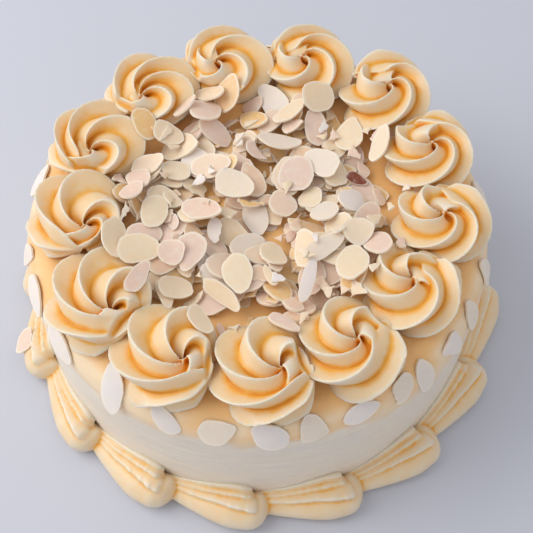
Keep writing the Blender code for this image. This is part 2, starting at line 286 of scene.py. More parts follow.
almondLook = {
    "skin": (0.22, 0.05, 0.02),
    "amber": (0.88, 0.55, 0.25),
    "pink": (0.83, 0.60, 0.49),
    "cream": (0.88, 0.68, 0.475),
    "white": (0.86, 0.77, 0.73),
    "rim": (0.92, 0.81, 0.67),
    # where the tone of a flake passes from each colour to the next
    "tones": ((-0.5, -0.2, "amber"), (0.05, 0.25, "pink"), (0.3, 0.55, "cream"), (0.6, 1.0, "white")),
    "roughness": 0.55,
}


def makeAlmond(name, look):
    material, nodes, links, shader = newMaterial(name)
    tone = attributeNode(nodes, "tone")
    body = look["skin"]
    for low, high, colour in look["tones"]:
        body = mixColour(nodes, links, mapRange(nodes, links, tone, low, high), body, look[colour])
    fibre = noiseTexture(nodes, links, 320.0, 4.0)
    body = mixColour(nodes, links, mapRange(nodes, links, fibre, 0.45, 0.75, 0.0, 0.3), body, look["rim"])
    atRim = mapRange(nodes, links, attributeNode(nodes, "rim"), 0.8, 1.0, 0.0, 0.75)
    links.new(mixColour(nodes, links, atRim, body, look["rim"]), shader.inputs["Base Color"])
    shader.inputs["Roughness"].default_value = look["roughness"]
    shader.inputs["Subsurface Weight"].default_value = 0.3
    shader.inputs["Subsurface Radius"].default_value = (1.0, 0.65, 0.35)
    shader.inputs["Subsurface Scale"].default_value = 0.004
    addBump(nodes, links, shader, fibre, 0.2, 0.0003)
    return material


# the frosted cake

cakeShape = {
    "radius": 107.5,
    "top": 82.5,
    "rimRound": 14.0,
    "around": 288,
    "streak": 0.35,        # depth of the scraper's marks
    "rimSteps": 14,
    "sideRings": 70,
    "topRings": 20,
    "ringGap": 4.2,
}


def rimDrop(radius):
    share = np.clip((radius - cakeShape["radius"] + cakeShape["rimRound"]) / cakeShape["rimRound"], 0, 1)
    return cakeShape["rimRound"] * (1 - np.sqrt(1 - share ** 2))


def makeCake(shape, material):
    deselectAll()
    bpy.ops.mesh.primitive_cylinder_add(vertices=shape["around"], radius=shape["radius"] * mm,
                                        depth=shape["top"] * mm, end_fill_type="NGON",
                                        location=(0, 0, 0.5 * shape["top"] * mm))
    cake = bpy.context.object
    cake.name = cake.data.name = "cakeIcing"
    bpy.ops.object.transform_apply(location=True, rotation=True, scale=True)
    bpy.ops.object.mode_set(mode="EDIT")
    bm = bmesh.from_edit_mesh(cake.data)
    for edge in bm.edges:
        edge.select = all(v.co.z > 0.99 * shape["top"] * mm for v in edge.verts)
    bm.select_flush(True)
    bmesh.update_edit_mesh(cake.data)
    bpy.ops.mesh.bevel(offset=shape["rimRound"] * mm, segments=shape["rimSteps"], profile=0.5, affect="EDGES")
    # rings down the side and across the top
    bm = bmesh.from_edit_mesh(cake.data)
    for face in bm.faces:
        face.select = False
    bm.select_flush(False)
    for edge in bm.edges:
        low, high = sorted(v.co.z for v in edge.verts)
        edge.select = low < 0.001 and high > 0.05
    bmesh.update_edit_mesh(cake.data)
    bpy.ops.mesh.subdivide(number_cuts=shape["sideRings"])
    bm = bmesh.from_edit_mesh(cake.data)
    for face in bm.faces:
        face.select = face.normal.z > 0.99 and len(face.verts) > 100
    bmesh.update_edit_mesh(cake.data)
    for step in range(shape["topRings"]):
        bpy.ops.mesh.inset(thickness=shape["ringGap"] * mm)
    bpy.ops.object.mode_set(mode="OBJECT")
    points = pointsOf(cake.data) / mm
    radius = np.hypot(points[:, 0], points[:, 1])
    moved = points.copy()
    for i, (x, y, z) in enumerate(points):
        if z < 0.01 or radius[i] < 1:
            continue
        angle = math.atan2(y, x)
        wave = noise.noise((3.0 * math.cos(angle), 3.0 * math.sin(angle), z * 0.05))
        scrape = noise.noise((6.0 * math.cos(angle) + 7, 6.0 * math.sin(angle), z * 0.9))
        fine = noise.noise((30.0 * math.cos(angle), 30.0 * math.sin(angle) + 5, z * 2.2))
        side = min(1.0, z / 6.0)
        if z < shape["top"] - 0.01:
            push = side * (0.5 * wave + shape["streak"] * scrape + 0.12 * fine) - 0.25
            moved[i, 0] += math.cos(angle) * push
            moved[i, 1] += math.sin(angle) * push
        else:
            moved[i, 2] += 0.25 * noise.noise((x * 0.06, y * 0.06, 3.0)) - 0.1
    setPoints(cake.data, moved * mm)
    smoothAll(cake)
    print("cake", len(cake.data.polygons), "faces")
    return settle(cake, ["cake_body"], material)


# rosettes

roseRing = {
    "count": 13,
    "radius": 81.5,
    "first": 128.9,        # angle of the first one
    "drift": 2.3,          # uneven spacing, in degrees
    "onward": {3: 2.8, 4: 1.5, 5: 1.5},       # degrees that some lie further round
    "scale": (1.0, 1.02, 1.02, 1.08, 1.06, 1.06, 1.05, 1.04, 1.01, 1.02, 1.08, 1.04, 1.02),
    # how far each one lies off the ring
    "out": (1.0, 0.5, 0, 2.0, 2.5, 0.8, 0, -3.5, 0.5, 1.5, 5.0, 2.5, 1.0),
    # where the eye of each swirl lies: outward and onward from its middle
    "eye": ((-3, 9.5), (-1, 9.5), (-4, 10.5), (0, 11), (1, 9.5), (1.5, 7), (-0.5, 3.5),
            (0, 2.5), (0, 1.5), (2.5, 1), (3, 0), (0, 4), (-1, 7)),
    # where the five teeth of the nozzle pointed at each one
    "teeth": (
        (12, 98, 178, 258, 318), (64, 122, 193, 262, 344), (54, 118, 200, 255, 310),
        (62, 120, 203, 273, 346), (29, 104, 172, 255, 315), (62, 131, 198, 265, 329),
        (5, 78, 146, 205, 296), (13, 83, 153, 236, 310), (64, 128, 203, 266, 342),
        (29, 106, 169, 238, 310), (36, 102, 174, 244, 320), (47, 120, 192, 261, 334),
        (72, 122, 186, 256, 340),
    ),
}
ropeShape = {
    "half": 12.4,          # half width of the rope
    "path": 10.6,          # radius of its loop
    "flat": 0.82,          # height of the rope over its width
    "mid": 8.3,            # height of its middle
    "start": -305.0,       # headings from straight out of the cake, counterclockwise
    "leave": -4.0,         # where the tail leaves the loop
    "run": 23.0,           # length of the straightening tail
    "ease": 14.0,          # length over which the tail loses its bend
    "tip": (-5.0, 3.0),    # the crests run together toward the tail's inner upper side
    "valley": 0.50,        # depth of the nozzle's grooves in the rope
    "bias": 0.66,          # share of each tooth that is the broad face
    "rows": 190,
    "around": 200,
    "voxel": 0.42,
}


def roseAngle(k):
    count = roseRing["count"]
    even = roseRing["first"] + 360.0 * k / count
    drift = roseRing["drift"] * (1 - math.cos(2 * math.pi * k / count))
    return even + drift + roseRing["onward"].get(k, 0.0)


def roseSettings(k):
    return {
        "scale": roseRing["scale"][k],
        "ring": roseRing["radius"] + roseRing["out"][k],
        "eye": roseRing["eye"][k],
        "turn": 6.0 * math.sin(1.9 * k + 1.0),
        "teeth": [math.radians(tooth - roseAngle(k)) for tooth in roseRing["teeth"][k]],
        "lift": 0.5 * math.sin(3.1 * k),
    }


def starRadius(angle, crests, valley, bias):
    # from each crest a broad face falls outward, and a short steep one climbs to the next crest
    order = sorted(c % (2 * math.pi) for c in crests)
    around = angle % (2 * math.pi)
    fall = np.zeros_like(around)
    for n, low in enumerate(order):
        high = order[(n + 1) % len(order)] + (2 * math.pi if n + 1 == len(order) else 0)
        for shift in (0.0, 2 * math.pi):
            share = (around + shift - low) / (high - low)
            here = (share >= 0) & (share < 1)
            down = 1 - (1 - np.clip(share / bias, 0, 1)) ** 1.45
            up = np.clip((share - bias) / (1 - bias), 0, 1) ** 1.7
            fall = np.where(here, down - up, fall)
    return 1.0 - valley * fall


def ropePath(settings, shape):
    radius = shape["path"] * settings["scale"]
    start, leave = (math.radians(shape[name] + settings["turn"]) for name in ("start", "leave"))
    arc = (leave - start) * radius
    total = arc + shape["run"]
    s = np.linspace(0.0, total, shape["rows"])
    step = s[1]
    on = np.clip(s - arc, 0, None)
    ease = np.clip(on / shape["ease"], 0, 1)
    bent = on - shape["ease"] * (ease ** 3 - 0.5 * ease ** 4)
    turned = np.where(on < shape["ease"], bent, 0.5 * shape["ease"])
    heading = start + np.minimum(s, arc) / radius + turned / radius
    grown = radius * np.sin(np.clip(np.degrees(np.minimum(s, arc) / radius) / 140.0, 0, 1) * math.pi / 2)
    middle = np.stack([grown * np.cos(heading), grown * np.sin(heading)], 1)
    ahead = np.stack([-np.sin(heading), np.cos(heading)], 1)
    first = int(np.searchsorted(s, arc))
    middle[first:] = middle[first - 1] + np.cumsum(ahead[first:], 0) * step
    return s / total, heading, middle, on / shape["run"]


def pipeRosette(settings, shape):
    share, heading, middle, tail = ropePath(settings, shape)
    half = shape["half"] * settings["scale"]
    width = half * (0.78 + 0.22 * np.clip(share / 0.12, 0, 1))
    tilt = np.clip(share / 0.17, 0, 1) * math.pi / 2
    height = shape["mid"] + settings["lift"]
    psi = np.linspace(0, 2 * math.pi, shape["around"], endpoint=False)
    inward, raised = shape["tip"]
    # the outer lobe keeps its width longer than the crests on top
    outer = 0.5 + 0.5 * np.cos(psi - 0.5)
    begin = 0.12 + 0.50 * outer
    points = np.zeros((shape["rows"], shape["around"], 3))
    for i in range(shape["rows"]):
        out = np.array((math.cos(heading[i]), math.sin(heading[i])))
        ahead = np.array((-out[1], out[0]))
        radius = width[i] * starRadius(psi + heading[i], settings["teeth"], shape["valley"], shape["bias"])
        over, beside = radius * np.sin(psi), radius * np.cos(psi)
        slim = 1 - 0.90 * (np.clip((tail[i] - begin) / (1 - begin), 0, 1)) ** (1.1 + 1.2 * outer)
        beside = inward + (beside - inward) * slim
        up = raised + (-over * math.sin(tilt[i]) * shape["flat"] - raised) * slim
        points[i, :, :2] = middle[i] + np.outer(beside, out) + np.outer(over * math.cos(tilt[i]), ahead)
        points[i, :, 2] = height + up
    return points


def moveEye(points, settings, shape):
    # draws the middle of the swirl toward the tail, its edge stays
    reach = settings["scale"] * (shape["path"] + shape["half"]) + 1.5
    distance = np.hypot(points[..., 0], points[..., 1]) / reach
    share = np.clip(1 - distance ** 2, 0, 1) ** 1.6
    moved = points.copy()
    moved[..., 0] += settings["eye"][0] * share
    moved[..., 1] += settings["eye"][1] * share
    return moved


def dipUnderNext(points, spacing, settings, after, shape):
    # the tail goes under the round edge of the next rosette
    turn = math.radians(spacing)
    x = points[..., 0] + settings["ring"] - after["ring"] * math.cos(turn)
    y = points[..., 1] - after["ring"] * math.sin(turn)
    scale = after["scale"]
    beside = np.clip((np.hypot(x, y) - shape["path"] * scale) / (shape["half"] * scale), 0, 1)
    rise = 0.42 * shape["half"] * scale * shape["flat"] * np.sqrt(1 - beside ** 2)
    cap = np.where(beside < 1, shape["mid"] + after["lift"] + rise, 99.0)
    depth = np.clip((1 - beside) / 0.12, 0, 1)
    z = points[..., 2]
    moved = points.copy()
    moved[..., 2] = np.where(z > cap, z + (cap - z) * depth, z)
    return moved


def restOnCake(points, mid, ring, sunk=0.4):
    z = points[..., 2]
    drop = rimDrop(np.hypot(points[..., 0] + ring, points[..., 1]))
    sagged = z - (drop + 0.5) * np.clip(1 - z / mid, 0, 1)
    return np.maximum(sagged, -drop - sunk)


def tubeMesh(name, points):
    rows, around, _ = points.shape
    verts = np.concatenate([points.reshape(-1, 3), points[0].mean(0)[None], points[-1].mean(0)[None]]) * mm
    i, j = np.meshgrid(np.arange(rows - 1), np.arange(around), indexing="ij")
    k = (j + 1) % around
    quads = np.stack([i * around + j, i * around + k, (i + 1) * around + k, (i + 1) * around + j], -1)
    quads = quads.reshape(-1, 4)
    start, end = rows * around, rows * around + 1
    last = (rows - 1) * around
    caps = [(start, (n + 1) % around, n) for n in range(around)]
    caps += [(end, last + n, last + (n + 1) % around) for n in range(around)]
    return meshObject(name, verts, [tuple(q) for q in quads.tolist()] + caps)


def makeRosette(k, material):
    shape = ropeShape
    following = (k + 1) % roseRing["count"]
    spacing = (roseAngle(following) - roseAngle(k)) % 360.0
    settings = roseSettings(k)
    points = moveEye(pipeRosette(settings, shape), settings, shape)
    points = dipUnderNext(points, spacing, settings, roseSettings(following), shape)
    points[..., 2] = restOnCake(points, shape["mid"], settings["ring"])
    rose = tubeMesh("rosette%02d" % (k + 1), points)
    turn = Matrix.Rotation(math.radians(roseAngle(k)), 4, "Z")
    rose.data.transform(turn @ Matrix.Translation((settings["ring"] * mm, 0, cakeShape["top"] * mm)))
    applyModifier(rose, "REMESH", mode="VOXEL", voxel_size=shape["voxel"] * mm * 1.0)
    applyModifier(rose, "SMOOTH", factor=0.5, iterations=1)
    smoothAll(rose)
    # depths for the painted shade in the rosette's hollows and grooves
    storeRelief(rose, 6, 110)
    return settle(rose, ["rosette_%02d" % (k + 1)], material)


# shell border

shellShape = {
    "count": 16,
    "first": 5.0,          # angle of the head of the first shell
    "middle": 116.0,       # radius along which the shells are measured
    "sunk": 0.8,           # how far they reach into the cake
    "rows": 110,
    "around": 84,
    "voxel": 0.50,
    # each shell is a broad lobe, two torn ridges over it and a thin ridge at the side:
    # distances from the head, then reach from the side, height and half width there
    "strands": (
        {"at": (0, 3, 9, 20, 36, 58), "reach": (3.6, 6.2, 8.6, 8.4, 6.0, 3.2),
         "mid": (5.0, 6.0, 6.6, 6.2, 4.8, 3.0), "half": (5.0, 7.4, 8.9, 8.4, 6.0, 3.2),
         "flat": 0.82, "lip": 0.0, "toward": 0.0, "torn": 0.0},
        {"at": (5, 8, 14, 26, 42, 58), "reach": (7.2, 8.0, 7.4, 5.5, 3.9, 1.8),
         "mid": (9.9, 11.8, 12.7, 11.4, 8.2, 5.0), "half": (3.2, 4.2, 3.7, 2.7, 1.9, 1.1),
         "flat": 0.88, "lip": 0.5, "toward": 42.0, "torn": 0.45},
        {"at": (8, 11, 16, 27, 42, 58), "reach": (2.8, 3.6, 3.2, 2.5, 2.0, 1.2),
         "mid": (11.4, 13.4, 14.2, 12.6, 9.2, 5.6), "half": (2.3, 3.1, 2.8, 2.2, 1.6, 1.0),
         "flat": 0.95, "lip": 0.5, "toward": 60.0, "torn": 0.7},
        {"at": (9, 13, 19, 30, 42, 58), "reach": (0.6, 0.8, 0.4, 0.2, 0.0, 0.0),
         "mid": (13.4, 15.4, 15.8, 13.6, 9.8, 6.0), "half": (2.0, 2.9, 2.4, 2.0, 1.5, 1.0),
         "flat": 1.0, "lip": 0.5, "toward": 75.0, "torn": 0.4},
    ),
}


def pipeStrand(seed, strand, shape):
    rng = random.Random(seed)
    first, last = strand["at"][0], strand["at"][-1]
    t = np.linspace(0.0, 1.0, shape["rows"]) ** 1.25
    along = first + (last - first) * t
    # control values joined by a smooth curve
    fine = np.linspace(first, last, 400)
    blur = np.hanning(61) / np.hanning(61).sum()
    curves = []
    for name in ("reach", "mid", "half"):
        padded = np.pad(np.interp(fine, strand["at"], strand[name]), 30, mode="edge")
        curves.append(np.interp(along, fine, np.convolve(padded, blur, mode="valid")))
    reach, mid, half = curves
    size = 1 + rng.uniform(-0.05, 0.05)
    ends = np.minimum((along - first) / (1.1 * half[0]), (last - along) / (2.0 * half[-1]))
    half = half * size * np.sqrt(np.clip(1 - (1 - np.clip(ends, 0, 1)) ** 2, 0.0004, 1))
    psi = np.linspace(0, 2 * math.pi, shape["around"], endpoint=False)
    away = (np.degrees(psi) - strand["toward"] + 180) % 360 - 180
    lip = strand["lip"] * np.exp(-np.abs(away) / 20.0)
    points = np.zeros((shape["rows"], shape["around"], 3))
    for i in range(shape["rows"]):
        coarse = noise.noise((along[i] * 0.35, seed * 3.1, 0.0))
        ragged = noise.noise((along[i] * 1.1, seed * 1.7, 5.0))
        torn = 1 + strand["torn"] * (coarse + 0.5 * ragged)
        radius = half[i] * (1 + lip * torn)
        points[i, :, 0] = reach[i] * size + radius * np.cos(psi)
        points[i, :, 1] = along[i] + 0.25 * noise.noise((along[i] * 0.3, seed, 2.0))
        points[i, :, 2] = mid[i] + radius * np.sin(psi) * strand["flat"]
    return points


def makeBorder(shape, material):
    parts = []
    for k in range(shape["count"]):
        head = math.radians(shape["first"] + 360.0 * k / shape["count"])
        for n, strand in enumerate(shape["strands"]):
            points = pipeStrand(40 + 4 * k + n, strand, shape)
            # the border stands out a little further on one side
            reach = np.maximum(points[..., 0], -shape["sunk"]) * (1 + 0.07 * math.cos(head + 0.2))
            radius = cakeShape["radius"] + reach
            angle = head - (points[..., 1] + 1.0) / shape["middle"]
            height = np.maximum(points[..., 2], 0.0)
            placed = np.stack([radius * np.cos(angle), radius * np.sin(angle), height], -1)
            parts.append(tubeMesh("shell", placed))
    deselectAll()
    for part in parts:
        part.select_set(True)
    bpy.context.view_layer.objects.active = parts[0]
    bpy.ops.object.join()
    border = parts[0]
    border.name = border.data.name = "shellBorder"
    applyModifier(border, "REMESH", mode="VOXEL", voxel_size=shape["voxel"] * mm * 1.0)
    applyModifier(border, "SMOOTH", factor=0.5, iterations=2)
    smoothAll(border)
    # depths for the painted shade in the border's folds, eased a little
    storeRelief(border, 3, 60, -0.15)
    print("border", len(border.data.polygons), "faces")
    return settle(border, ["shell_border"], material)


# sliced almonds

sliceShape = {
    "points": 20,
    "thick": 1.1,
}


def makeSlice(shape):
    # one flat slice of unit length and width, to be copied
    deselectAll()
    bpy.ops.mesh.primitive_circle_add(vertices=shape["points"], radius=0.5, fill_type="NGON")
    pattern = bpy.context.object
    bpy.ops.object.mode_set(mode="EDIT")
    bpy.ops.mesh.select_all(action="SELECT")
    bpy.ops.mesh.extrude_region_move(TRANSFORM_OT_translate={"value": (0, 0, 1.0)})
    bpy.ops.mesh.select_all(action="SELECT")
    bm = bmesh.from_edit_mesh(pattern.data)
    for edge in bm.edges:
        edge.select = abs(edge.verts[0].co.z - edge.verts[1].co.z) < 0.01
    bmesh.update_edit_mesh(pattern.data)
    bpy.ops.mesh.bevel(offset=0.045, segments=1, affect="EDGES")
    bm = bmesh.from_edit_mesh(pattern.data)
    for face in bm.faces:
        face.select = len(face.verts) > 10
    bmesh.update_edit_mesh(pattern.data)
    bpy.ops.mesh.inset(thickness=0.16)
    bpy.ops.mesh.poke()
    bpy.ops.mesh.select_all(action="SELECT")
    bpy.ops.mesh.normals_make_consistent(inside=False)
    bpy.ops.object.mode_set(mode="OBJECT")
    points = pointsOf(pattern.data)
    faces = [tuple(p.vertices) for p in pattern.data.polygons]
    bpy.data.objects.remove(pattern, do_unlink=True)
    return points, faces


def shapeSlice(base, length, width, point, bend, rng, cuts=()):
    x, y, z = base[:, 0], base[:, 1], base[:, 2]
    rim = np.clip(np.hypot(x, y) / 0.5, 0, 1)
    angle = np.arctan2(y, x)
    wobble = (1 + 0.035 * np.sin(3 * angle + rng.uniform(0, 6)) + 0.03 * np.sin(4 * angle + rng.uniform(0, 6))
              + 0.02 * np.sin(7 * angle + rng.uniform(0, 6)))
    px = x * length * wobble
    py = y * width * (1 - 2 * point * x) * wobble
    thick = sliceShape["thick"] * (0.85 + 0.25 * rng.random())
    for direction, limit in cuts:
        # broken across: what lies past a jagged line is drawn back to it
        c, s = math.cos(direction), math.sin(direction)
        past = px * c + py * s
        across = -px * s + py * c
        rough = min(1.0, (length / 16) ** 2)
        notches = 0.5 * np.sin(across * 1.9 + rng.uniform(0, 6)) + 0.35 * np.sin(across * 4.3)
        jag = limit * 0.5 * length + rough * notches
        back = np.maximum(past - jag, 0)
        px, py = px - back * c, py - back * s
        rim = np.where(back > 0, 1.0, rim)
    curl = bend * ((px / (0.5 * length)) ** 2 - 0.3) + 0.4 * bend * (py / (0.5 * width)) ** 2
    pz = z * thick * (1 - 0.15 * rim ** 4) + curl + 0.05 * (1 - rim)
    return np.stack([px, py, pz], 1), rim


class SliceHeap:
    # gathers the slices of one kind into one mesh

    def __init__(self, name):
        self.name = name
        self.verts, self.faces, self.tones, self.rims = [], [], [], []
        self.count = 0

    def add(self, points, faces, rim, matrix, tone):
        flat = points * mm
        placed = flat @ np.array(matrix.to_3x3()).T + np.array(matrix.translation)
        self.verts.append(placed)
        self.faces += [tuple(i + self.count for i in f) for f in faces]
        self.tones.append(np.full(len(points), tone))
        self.rims.append(rim)
        self.count += len(points)

    def finish(self, nodes, material):
        heap = meshObject(self.name, np.concatenate(self.verts), self.faces)
        pickOnly(heap)
        bpy.ops.object.shade_smooth_by_angle(angle=math.radians(50))
        storeFloats(heap.data, "tone", np.concatenate(self.tones))
        storeFloats(heap.data, "rim", np.concatenate(self.rims))
        print(self.name, len(heap.data.polygons), "faces")
        return settle(heap, nodes, material)


def frameOn(centre, normal, yaw):
    forward = Vector((math.cos(yaw), math.sin(yaw), 0.0))
    forward = (forward - normal * forward.dot(normal)).normalized()
    turn = Matrix((forward, normal.cross(forward), normal)).transposed().to_4x4()
    return Matrix.Translation(centre) @ turn


rimAlmonds = {
    # angle, slope of the edge there, length, width, lean from level, tone
    "seen": (
        (217.5, 62, 21, 10.5, -14, 0.9), (235.5, 52, 24, 11.0, 108, 0.95), (249.7, 56, 17, 9.5, 140, 0.9),
        (262, 54, 16.0, 12.0, 20, 0.8), (273.9, 58, 17, 12.5, 150, 0.95), (283.8, 56, 16, 12.0, 100, 0.8),
        (295.5, 50, 17, 8.5, 5, 0.95), (306.5, 48, 15, 10.0, 30, 0.8), (313.5, 58, 17, 9.5, 85, 0.85),
        (324, 60, 13, 12.0, 40, 0.9), (334, 62, 16, 9.5, 80, 0.8), (347, 66, 17, 10.0, 90, 0.85),
        (203, 62, 20, 10.5, -12, 0.9), (191, 66, 16, 10.0, 60, 0.85),
    ),
    "hidden": 13,
    # one by the border: angle, height, distance, length, width
    "loose": (196.4, 12.0, 120.0, 15.0, 10.0),
}


def makeRimAlmonds(settings, pattern, material):
    rng = random.Random(77)
    base, faces = pattern
    heap = SliceHeap("rimAlmonds")
    placed = list(settings["seen"])
    for n in range(settings["hidden"]):
        angle = 178.0 * (n + rng.uniform(0.25, 0.75)) / settings["hidden"]
        placed.append((angle, rng.uniform(50, 66), rng.uniform(14, 18), rng.uniform(9.5, 12.0),
                       rng.uniform(0, 180), rng.uniform(0.7, 1.0)))
    for number, (angle, slope, length, width, lean, tone) in enumerate(placed):
        a, s, l = math.radians(angle), math.radians(slope), math.radians(lean)
        level = Vector((math.cos(a), math.sin(a), 0))
        across = Vector((-math.sin(a), math.cos(a), 0))
        up = Vector((0, 0, 1))
        outward = level * math.sin(s) + up * math.cos(s)
        uphill = up * math.sin(s) - level * math.cos(s)
        along = across * math.cos(l) + uphill * math.sin(l)
        turn = Matrix((along, outward.cross(along), outward)).transposed().to_4x4()
        rimRound = cakeShape["rimRound"]
        centre = (level * (cakeShape["radius"] - rimRound) + up * (cakeShape["top"] - rimRound)
                  + outward * (rimRound + 0.1)) * mm
        bend = -1.6 * abs(math.sin(l)) - 0.4
        cuts = ((rng.uniform(2.6, 3.6), 0.55),) if number in (5, 7, 9, 17, 21) else ()
        points, rim = shapeSlice(base, length, width, rng.uniform(0.05, 0.28), bend, rng, cuts)
        heap.add(points, faces, rim, Matrix.Translation(centre) @ turn, tone)
    angle, height, distance, length, width = settings["loose"]
    a = math.radians(angle)
    place = Vector((distance * math.cos(a), distance * math.sin(a), height)) * mm
    points, rim = shapeSlice(base, length, width, 0.25, 0.8, rng, ((2.4, 0.5),))
    normal = Vector((math.cos(a) * 0.5, math.sin(a) * 0.5, 0.85)).normalized()
    heap.add(points, faces, rim, frameOn(place, normal, a + 0.5), 0.3)
    return heap.finish([], material)


topAlmonds = {
    "count": 300,
    "spread": 68.0,
    # the large ones on top of the heap: x, y, heading, length, width, tone
    "large": (
        (11, 0, 11, 13.2, 14.0, 0.4), (-35, -44, 6, 16.0, 11.9, 0.5), (-50, -21, 23, 17.2, 12.8, 0.3),
        (-21, 38, -34, 18.5, 10.5, 0.25), (-37, 31, -5, 20.7, 14.0, 0.62), (-26, 47, 72, 20.2, 15.3, 0.32),
        (-24, 59, -25, 17.3, 10.1, 0.5), (14, 50, 34, 18.1, 9.4, 0.5), (9, 33, 5, 20.7, 12.9, 0.8),
        (27, 57, 0, 16.9, 15.0, 0.5), (42, 40, 77, 18.2, 13.3, 0.6), (17, 16, 63, 18.8, 16.1, 0.3),
        (56, 31, 65, 20.0, 9.2, 0.72), (-46, -8, 80, 18.3, 12.3, 0.6), (-25, -7, -34, 21.5, 13.6, 0.22),
        (-51, -28, 6, 19.7, 13.5, 0.6), (-8, -38, -81, 19.9, 13.2, 0.58), (41, -34, 81, 20.4, 14.2, 0.55),
        (-38, 17, -9, 13.7, 11.3, 0.62), (-22, 19, 5, 19.7, 11.9, 0.42), (-50, 16, 54, 16.4, 12.5, 0.55),
        (30, -5, 72, 14.9, 12.4, 0.8), (29, -26, 40, 21.8, 9.3, 0.8), (24, 5, 63, 13.1, 10.7, 0.65),
        (-11, 8, -28, 19.3, 14.8, 0.75), (-7, -13, 81, 21.0, 12.3, 0.85), (-14, -47, -42, 20.9, 8.2, 0.55),
        (22, -42, 80, 20.4, 6.1, 1.0), (-50, -44, 63, 16.7, 7.8, 0.25), (42, 2, 44, 14.0, 12.3, 0.9),
        (44, -17, 23, 14.3, 12.8, 0.7), (-37, -29, 34, 12.2, 12.0, 0.35), (7, -27, -72, 14.9, 12.0, 0.55),
        (45, 17, -25, 11.0, 5.5, -1.0), (12, -63, -35, 15.0, 7.0, 0.3), (-23, -63, -50, 15.0, 9.0, 0.5),
        (-51, 19, 20, 16.0, 11.0, 0.45), (-54, 9, -60, 15.0, 11.0, 0.3), (-43, 35, -20, 15.5, 11.0, 0.5),
        (-56, -1, 75, 14.0, 9.5, 0.25), (-35, 48, 35, 14.0, 10.0, 0.35), (64, 11, 10, 11.0, 6.0, 0.6),
        (58, 3, 70, 15.0, 9.0, 0.2),
    ),
    "bare": ((2, 9, 5), (54, -15, 6), (-12, -19, 4)),       # x, y, radius of patches with few flakes
    "bits": 34,
    # tones of the flakes deep in the heap, painted amber and pink as their warm shade and the yema's light
    # through the thin flakes, and of those laid later
    "shadedTonesBelow": (-0.1, 0.0, 0.08, 0.15, 0.25),
    "tonesAbove": (0.05, 0.15, 0.3, 0.4, 0.5, 0.55, 0.6, 0.85),
    "deep": 0.45,          # share of the flakes that count as deep
    "mapHalf": 76.0,       # half width of the height map
    "cell": 0.8,           # and its cells
    "steepest": 0.72,      # slope that a flake may lie at
    "highest": 8.5,        # height of the heap where no more are laid
    "tries": 2500,
}


def heightMap(trees, cell, half):
    side = int(2 * half / cell)
    axis = (np.arange(side) + 0.5) * cell - half
    heights = np.full((side, side), cakeShape["top"])
    for i, x in enumerate(axis):
        for j, y in enumerate(axis):
            if x * x + y * y < half * half:
                for tree in trees:
                    hit = tree.ray_cast(Vector((x * mm, y * mm, 0.2)), Vector((0, 0, -1)))
                    if hit[0] is not None:
                        heights[i, j] = max(heights[i, j], hit[0].z / mm)
    gx, gy = np.meshgrid(axis, axis, indexing="ij")
    return gx, gy, heights


def restingPlane(xs, ys, hs):
    # the flat slice lies on the three points that hold it: the facet of the upper hull over its middle
    bm = bmesh.new()
    for x, y, h in zip(xs, ys, hs):
        bm.verts.new((x, y, h))
    bm.verts.new((0, 0, min(hs) - 10))
    bmesh.ops.convex_hull(bm, input=bm.verts)
    best = None
    for face in bm.faces:
        face.normal_update()
        if abs(face.normal.z) < 0.2:
            continue
        corners = [v.co for v in face.verts]
        signs = []
        for n in range(len(corners)):
            a, b = corners[n], corners[(n + 1) % len(corners)]
            signs.append((b.x - a.x) * (-a.y) - (b.y - a.y) * (-a.x))
        if min(signs) >= -1e-9 or max(signs) <= 1e-9:
            normal = face.normal if face.normal.z > 0 else -face.normal
            height = corners[0].z + (normal.x * corners[0].x + normal.y * corners[0].y) / normal.z
            if best is None or height > best[0]:
                best = (height, normal.copy())
    bm.free()
    return best


def layFlat(ground, x, y, yaw, length, width, thick, steepest):
    gx, gy, heights = ground
    dx, dy = gx - x, gy - y
    along = (dx * math.cos(yaw) + dy * math.sin(yaw)) / (0.48 * length)
    beside = (-dx * math.sin(yaw) + dy * math.cos(yaw)) / (0.46 * width)
    under = along ** 2 + beside ** 2 < 1
    if under.sum() < 4:
        return None
    found = restingPlane(dx[under], dy[under], heights[under])
    if found is None:
        return None
    height, normal = found
    if math.hypot(normal.x, normal.y) / normal.z > steepest:
        return None
    surface = height - (normal.x * dx[under] + normal.y * dy[under]) / normal.z + thick / normal.z
    heights[under] = np.maximum(heights[under], surface)
    return frameOn(Vector((x, y, height)) * mm, normal, yaw)


